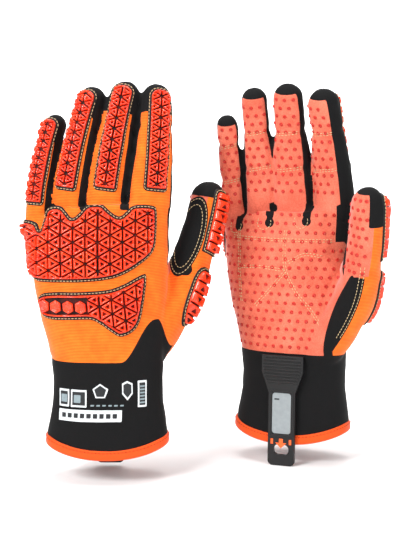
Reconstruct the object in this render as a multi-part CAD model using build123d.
"""A pair of impact-resistant work gloves, stored as they are worn: fingers up, left glove showing its
back and right glove showing its palm.

Each glove is built in its own frame: X across the hand towards the thumb, Y out of the back of the
hand, Z towards the fingertips, origin at the centre of the cuff opening. The left glove is that
model mirrored through XZ, and the right glove is that model turned and moved beside it.
"""

import os
from dataclasses import dataclass
from math import copysign, cos, pi, radians, sin, sqrt

from build123d import *

# --- cloth, rubber and clearances (mm) ---
WALL = 2.0  # knit or synthetic leather with its lining
BINDING_THICK = 1.2  # black backing that each rubber guard is welded and stitched to
BINDING_EDGE = 2.6  # how far that backing stands out round its guard
RUBBER = 4.0  # moulded guard
SEAT = 0.15  # gap between a cloth skin and what is sewn on it
LAYER_GAP = 0.1  # gap between a guard and its backing
FOLD_GAP = 0.6  # gap in the skin at a folding crease
FOLD_WEDGE = 10.0  # degrees the crease opens towards the back of the hand

# --- cuff and hand ---
CUFF_TOP = 66.0  # seam between cuff and hand
HEM_WIDTH = 7.0  # orange edge binding
HEM_PROUD = 0.8  # how far the binding stands off the cuff, inside and out
HEM_HALF_WIDTH = 47.0
HEM_DROP = 9.0  # how far the middle of the hem hangs below its sides
KNUCKLE_TOP = 186.0  # where index, middle and ring leave the hand
LITTLE_TOP = 175.0  # where the little finger leaves it
OVAL_POWER = 2.4  # squareness of the hand's ovals
# height, centre x, half width, half depth
HAND_SECTIONS = [
    (-16.0, 0.0, 48.5, 26.6),
    (0.0, 0.0, HEM_HALF_WIDTH, 26.0),
    (50.0, 1.0, 42.0, 25.0),
    (85.0, -1.0, 46.0, 26.0),
    (115.0, -3.5, 50.0, 25.5),
    (150.0, -4.5, 52.5, 22.0),
    (KNUCKLE_TOP, -4.0, 53.0, 17.5),
]
STEP_X = -37.0  # side of the step down to the little finger

# --- thumb root: centre, half width, half depth of each oval up to the thumb's fold ---
THUMB_ROOT = [
    ((20.0, -5.0, 62.0), 20.0, 18.0),
    ((43.0, -12.0, 92.0), 19.5, 17.0),
    ((57.5, -19.0, 118.0), 17.5, 16.0),
]

HEEL_SHORT = 8.0  # how far the guard on the thumb's root stops short of each end of it

# --- guards on the back of the hand, in X and Z ---
KNUCKLE_OUTLINE = [
    (-62, 171), (-47.5, 171), (-45, 161), (-38.5, 182.5), (-28, 182.5), (-20, 171.5), (-11, 182.5),
    (3.5, 182.5), (15, 172.5), (28, 182.5), (42, 182.5), (42.5, 155), (38, 146), (19, 134.5),
    (3, 131), (-20, 129.5), (-62, 129),
]  # fmt: skip
METACARPAL_OUTLINE = [
    (-49, 117), (-1, 118), (14, 121), (35, 131), (31, 110), (25, 93), (13.5, 87.5), (8, 92),
    (-4, 101.5), (-11, 102), (-45, 100),
]  # fmt: skip
KNUCKLE_ROUND = 1.8
METACARPAL_ROUND = 2.0

# --- pull tab on the palm side of the cuff ---
TAB_TOP = 63.0
TAB_LENGTH = 89.0
TAB_THICK = 3.0
TAB_WIDTH = 22.0
TAB_ROOT_WIDTH = 34.0
TAB_ROOT_STRAIGHT = 13.0
TAB_TAPER = 17.0
TAB_ROUND = 4.0
TAB_TILT = 2.0  # degrees, so that the tab follows the flare of the cuff
TAB_BACK_Y = -25.9  # inner face of the tab at its top edge
SLOT_WIDTH, SLOT_HEIGHT, SLOT_ROUND = 12.5, 8.0, 3.5
SLOT_FROM_END = 9.0
PLATE_WIDTH, PLATE_HEIGHT, PLATE_ROUND = 15.6, 33.0, 2.5
PLATE_FROM_TOP = 30.0
PLATE_THICK = 1.0
PLATE_GAP = 0.1

# --- placing of the right glove beside the left ---
PAIR_SPACING = Vector(147.0, 60.0, -3.0)
RIGHT_TURN = -20.0  # degrees about its own Z

BIG = 400.0  # larger than a glove, for cutting tools


@dataclass
class Limb:
    """A finger or thumb: an oval tube along a gently curving centreline, closed by a round tip."""

    base: Vector
    width: tuple  # half width at the fold and at the tip
    depth: tuple  # half depth at the fold and at the tip
    length: float
    lean: tuple  # degrees towards the thumb side, at the fold and at the tip
    curl: tuple  # degrees towards the palm, at the fold and at the tip
    roll: float  # degrees that the back of the limb turns towards the thumb side
    guard_half_width: float
    level_fold: bool = True  # the fold runs straight across the hand

    def direction(self, s):
        share = min(max(s / self.length, 0.0), 1.0)
        lean = radians(self.lean[0] + (self.lean[1] - self.lean[0]) * share)
        curl = radians(self.curl[0] + (self.curl[1] - self.curl[0]) * share)
        return Vector(sin(lean) * cos(curl), -sin(curl), cos(lean) * cos(curl))

    def centre(self, s, steps=24):
        point = self.base
        for i in range(steps):
            point += self.direction(s * (i + 0.5) / steps) * (s / steps)
        return point

    def frame(self, s):
        """Plane across the limb: x towards its thumb side, y out of its back, z along it."""
        along = self.direction(s)
        side = Vector(1, 0, 0) - along * along.X
        side = side.rotate(Axis(Vector(0, 0, 0), along), -self.roll)
        return Plane(origin=self.centre(s), x_dir=side, z_dir=along)

    def fold_frame(self):
        """Frame of the crease that the limb folds on: its x is the folding axis."""
        if self.level_fold:
            return Plane(origin=self.base, x_dir=(1, 0, 0), z_dir=(0, 0, 1))
        return self.frame(0)

    def sizes(self, s, grow):
        """Half width and half depth at s, for the skin moved out by grow."""
        share = min(max(s / self.length, 0.0), 1.0)
        half_width = self.width[0] + (self.width[1] - self.width[0]) * share + grow
        half_depth = self.depth[0] + (self.depth[1] - self.depth[0]) * share + grow
        into_tip = s - (self.length - self.width[1])
        reach = self.width[1] + grow
        taper = sqrt(max(1 - (into_tip / reach) ** 2, 0.0)) if into_tip > 0 else 1.0
        return half_width * taper, half_depth * taper

    def solid(self, grow=0.0, below=12.0):
        """The tube, starting that far below the fold, with its rounded tip."""
        tip_start = self.length - self.width[1]
        reach = self.width[1] + grow
        tube = [(tip_start + below) * i / 5 - below for i in range(6)]
        tip = [tip_start + reach * share for share in (0, 0.28, 0.54, 0.76, 0.92, 0.99)]
        ends = []
        for places in (tube, tip):
            ends.append(Solid.make_loft([oval(self.frame(s), *self.sizes(s, grow)) for s in places]))
        return ends[0] + ends[1]

    def band(self, start, end, half_width, out=30.0):
        """A strip of space over the back of the limb, from start to end along it."""
        places = [start + (end - start) * i / 4 for i in range(5)]
        wires = []
        for s in places:
            corners = [(-half_width, 0), (half_width, 0), (half_width, out), (-half_width, out)]
            frame = self.frame(s)
            points = [frame.from_local_coords(Vector(u, v, 0)) for u, v in corners]
            wires.append(Wire.make_polygon(points, close=True))
        return Solid.make_loft(wires, ruled=True)

    def below_fold(self):
        """Everything on the hand's side of the folding crease, which opens towards the back."""
        fold = self.fold_frame()
        corner = fold.from_local_coords(Vector(0, -self.depth[0], FOLD_GAP))
        cut = Plane(
            origin=corner,
            x_dir=fold.x_dir,
            z_dir=fold.z_dir.rotate(Axis(Vector(0, 0, 0), fold.x_dir), FOLD_WEDGE),
        )
        return cut * Box(BIG, BIG, BIG, align=(Align.CENTER, Align.CENTER, Align.MAX))


def finger(x, z, width, depth, length, lean, roll, guard_half_width):
    return Limb(Vector(x, 0, z), width, depth, length, lean, (4, 24), roll, guard_half_width)


def limbs(side):
    """The five limbs of one glove. The gloves differ only in how their fingers lean and curl."""
    leans = {
        "left": {"index": (6, 1), "middle": (7, 14), "ring": (7, 19), "little": (4, 18)},
        "right": {"index": (-4, -4), "middle": (-3, 3), "ring": (-3, 2), "little": (-3, 3)},
    }[side]
    thumb_x, thumb_lean = {"left": (65, (20, 9)), "right": (62, (13, 1))}[side]
    top = KNUCKLE_TOP
    return {
        "index": finger(33.5, top, (14.2, 11.2), (12.2, 10.0), 91, leans["index"], 20, 6.8),
        "middle": finger(0.5, top, (13.4, 11.2), (12.2, 10.0), 95, leans["middle"], -5, 6.8),
        "ring": finger(-27.0, top, (11.8, 9.8), (11.2, 9.4), 91, leans["ring"], -20, 6.4),
        "little": finger(-50.8, LITTLE_TOP, (9.0, 8.2), (9.6, 8.2), 80, leans["little"], -22, 5.4),
        "thumb": Limb(
            Vector(thumb_x, -24, 138), (16.0, 13.2), (14.5, 12.0), 64, thumb_lean, (14, 10), 64, 8.5,
            level_fold=False,
        ),
    }  # fmt: skip


def oval(frame, half_width, half_depth, points=8, power=OVAL_POWER):
    """A closed, slightly squared oval in a frame."""
    ring = []
    for i in range(points):
        angle = 2 * pi * i / points
        u = copysign(abs(cos(angle)) ** (2 / power), cos(angle)) * half_width
        v = copysign(abs(sin(angle)) ** (2 / power), sin(angle)) * half_depth
        ring.append(frame.from_local_coords(Vector(u, v, 0)))
    return Wire([Edge.make_spline(ring, periodic=True)])


def hand_solid(grow=0.0):
    """Cuff and hand as one solid, without the thumb, its skin moved out by grow."""
    wires = []
    for z, x, half_width, half_depth in HAND_SECTIONS:
        frame = Plane(origin=(x, 0, z), x_dir=(1, 0, 0), z_dir=(0, 0, 1))
        wires.append(oval(frame, half_width + grow, half_depth + grow, points=12))
    return Solid.make_loft(wires)


def thumb_root_solid(thumb, grow=0.0, past_fold=0.0):
    """The part of the hand that swells out towards the thumb, up to the thumb's fold or past it."""
    centres = [Vector(*centre) for centre, _, _ in THUMB_ROOT] + [thumb.base]
    wires = []
    for i, (_, half_width, half_depth) in enumerate(THUMB_ROOT):
        along = centres[i + 1] - centres[max(i - 1, 0)]
        frame = Plane(origin=centres[i], x_dir=thumb.frame(0).x_dir, z_dir=along)
        wires.append(oval(frame, half_width + grow, half_depth + grow))
    wires.append(oval(thumb.frame(past_fold), *thumb.sizes(past_fold, grow)))
    return Solid.make_loft(wires)


def slab(low, high):
    """All of the space between two heights."""
    return Pos(0, 0, (low + high) / 2) * Box(BIG, BIG, high - low)


def step_for_little(drop):
    """The space over the little finger's knuckle, drop mm nearer the hand."""
    return Pos(STEP_X + drop, 0, LITTLE_TOP - drop) * Box(
        BIG, BIG, BIG, align=(Align.MAX, Align.CENTER, Align.MIN)
    )


def hem_drum(inset):
    """A drum across the glove whose lowest arc is the line of the hem, inset by that much."""
    radius = (HEM_HALF_WIDTH**2 + HEM_DROP**2) / (2 * HEM_DROP)
    drum = Cylinder(radius - inset, BIG, rotation=(90, 0, 0))
    return Pos(0, 0, radius - HEM_DROP) * drum


def thumb_heel(thumb):
    """Guard and backing on the root of the thumb, below its fold."""
    low, high = Vector(*THUMB_ROOT[1][0]), thumb.base
    along = (high - low).normalized()
    frame = Plane(origin=low, x_dir=thumb.frame(0).x_dir, z_dir=along)
    reach = (high - low).length
    made = []
    for inner, outer, edge in (
        (SEAT + BINDING_THICK + LAYER_GAP, SEAT + BINDING_THICK + RUBBER, 0.0),
        (SEAT, SEAT + BINDING_THICK, BINDING_EDGE),
    ):
        width, height = 2 * (thumb.guard_half_width + edge), reach - 2 * HEEL_SHORT + 2 * edge
        room = Pos(0, 25, reach / 2) * Box(width, 50, height)
        layer = thumb_root_solid(thumb, outer) - thumb_root_solid(thumb, inner)
        made.append((layer & frame * room) - hand_solid(inner))
    return {"thumb_heel_guard": made[0], "thumb_heel_backing": made[1]}


def solid_of(shape):
    """The shape's solids as one part, for export, without slivers left by cutting."""
    found = [s for s in shape.solids() if s.volume > 1]
    return found[0] if len(found) == 1 else Compound(children=found)


def cuff_parts():
    outside, inside = hand_solid(), hand_solid(-WALL)
    cuff = (outside - inside) & slab(-BIG / 4, CUFF_TOP) & hem_drum(HEM_WIDTH)
    edge = hand_solid(HEM_PROUD) - hand_solid(-WALL - HEM_PROUD)
    hem = (edge & slab(-BIG / 4, CUFF_TOP) & hem_drum(0)) - hem_drum(HEM_WIDTH)
    return {"cuff": cuff, "cuff_hem": hem}


def hand_parts(all_limbs):
    """Back and palm panels: a hollow hand with a port for each finger and for the thumb."""
    thumb = all_limbs["thumb"]
    above_cuff = slab(CUFF_TOP, KNUCKLE_TOP)
    outside = (hand_solid() & above_cuff) - step_for_little(0) + thumb_root_solid(thumb) & above_cuff
    cavity = (hand_solid(-WALL) & slab(CUFF_TOP - 1, KNUCKLE_TOP - WALL)) - step_for_little(WALL)
    shell = outside - cavity - thumb_root_solid(thumb, -WALL, past_fold=6.0)
    for name, limb in all_limbs.items():
        if name != "thumb":
            shell -= limb.solid(-WALL)
    back_side = Box(BIG, BIG, BIG, align=(Align.CENTER, Align.MIN, Align.CENTER))
    return {"back_panel": shell & back_side, "palm_panel": shell - back_side}


def outline_prism(points, rounding, edge=0.0):
    """An outline in X and Z, grown by edge, as a prism over the back of the hand."""
    face = make_face(Polyline(*points, close=True).edges())
    face = fillet(face.vertices(), rounding)
    if edge:
        face = offset(face, edge)
    return Plane.XZ.offset(-2) * extrude(face, -60)


def back_guards(thumb):
    """Knuckle, metacarpal and thumb root guards, with the black backing that they sit on."""
    guard_skin = hand_solid(SEAT + BINDING_THICK + RUBBER) - hand_solid(
        SEAT + BINDING_THICK + LAYER_GAP
    )
    backing_skin = hand_solid(SEAT + BINDING_THICK) - hand_solid(SEAT)
    outlines = {
        "knuckle_guard": (KNUCKLE_OUTLINE, KNUCKLE_ROUND),
        "metacarpal_guard": (METACARPAL_OUTLINE, METACARPAL_ROUND),
    }
    made = {
        name: guard_skin & outline_prism(points, rounding)
        for name, (points, rounding) in outlines.items()
    }
    backings = [
        backing_skin & outline_prism(points, rounding, BINDING_EDGE)
        for points, rounding in outlines.values()
    ]
    heel = thumb_heel(thumb)
    backings.append(heel.pop("thumb_heel_backing"))
    made["guard_backing"] = Compound(children=[s for b in backings for s in b.solids()])
    return made | heel


def limb_parts(name, limb):
    """Palm and back halves of a finger's skin, and the guard with its backing."""
    tube = limb.solid() - limb.solid(-WALL, below=14.0) - limb.below_fold()
    back_side = limb.band(-25, limb.length + 15, 40, out=40)
    guard_start, guard_end = 10.0, limb.length - 8.0
    guard_room = limb.band(guard_start, guard_end, limb.guard_half_width)
    backing_room = limb.band(
        guard_start - BINDING_EDGE, guard_end + BINDING_EDGE, limb.guard_half_width + BINDING_EDGE
    )
    guard = limb.solid(SEAT + BINDING_THICK + RUBBER) - limb.solid(SEAT + BINDING_THICK + LAYER_GAP)
    backing = limb.solid(SEAT + BINDING_THICK) - limb.solid(SEAT)
    return {
        f"{name}_palm": tube - back_side,
        f"{name}_back": tube & back_side,
        f"{name}_guard": guard & guard_room,
        f"{name}_backing": backing & backing_room,
    }


def tab_frame():
    """Frame in the tab's inner face: x across, y up the cuff, z into the cuff, origin at the top."""
    turned = Vector(0, 1, 0).rotate(Axis.X, -TAB_TILT)
    return Plane(origin=(0, TAB_BACK_Y, TAB_TOP), x_dir=(1, 0, 0), z_dir=-turned)


def tab_parts():
    """The moulded pull tab and the name plate let into it."""
    root, half = TAB_ROOT_WIDTH / 2, TAB_WIDTH / 2
    waist = TAB_ROOT_STRAIGHT + TAB_TAPER
    outline = Polyline(
        (-root, 0), (root, 0), (root, -TAB_ROOT_STRAIGHT), (half, -waist), (half, -TAB_LENGTH),
        (-half, -TAB_LENGTH), (-half, -waist), (-root, -TAB_ROOT_STRAIGHT), close=True,
    )  # fmt: skip
    face = make_face(outline.edges())
    face = fillet(face.vertices().group_by(Axis.Y)[0], TAB_ROUND)
    tab = extrude(face, TAB_THICK)
    slot_y = SLOT_FROM_END + SLOT_HEIGHT / 2 - TAB_LENGTH
    slot = extrude(RectangleRounded(SLOT_WIDTH, SLOT_HEIGHT, SLOT_ROUND), TAB_THICK)
    plate_y = -PLATE_FROM_TOP - PLATE_HEIGHT / 2
    pocket = extrude(RectangleRounded(PLATE_WIDTH, PLATE_HEIGHT, PLATE_ROUND), PLATE_THICK)
    plate = extrude(
        RectangleRounded(
            PLATE_WIDTH - 2 * PLATE_GAP, PLATE_HEIGHT - 2 * PLATE_GAP, PLATE_ROUND - PLATE_GAP
        ),
        PLATE_THICK,
    )
    recess = Pos(0, plate_y, TAB_THICK - PLATE_THICK)
    tab = tab - Pos(0, slot_y, 0) * slot - recess * pocket
    frame = tab_frame()
    return {"pull_tab": frame * tab, "name_plate": frame * (recess * plate)}


def place(side, shape):
    """Moves a shape from the glove's own frame to its place in the pair."""
    if side == "left":
        return mirror(shape, Plane.XZ)
    return Location(PAIR_SPACING) * Rot(0, 0, RIGHT_TURN) * shape


def glove(side):
    """Every node of one glove, in its place in the pair."""
    all_limbs = limbs(side)
    parts = cuff_parts() | hand_parts(all_limbs) | back_guards(all_limbs["thumb"]) | tab_parts()
    for name, limb in all_limbs.items():
        parts |= limb_parts(name, limb)
    return {f"{side}_{name}": place(side, shape) for name, shape in parts.items()}


def main():
    os.makedirs("parts", exist_ok=True)
    for side in ("left", "right"):
        for name, shape in glove(side).items():
            export_step(solid_of(shape), f"parts/{name}.step")


if __name__ == "__main__":
    main()
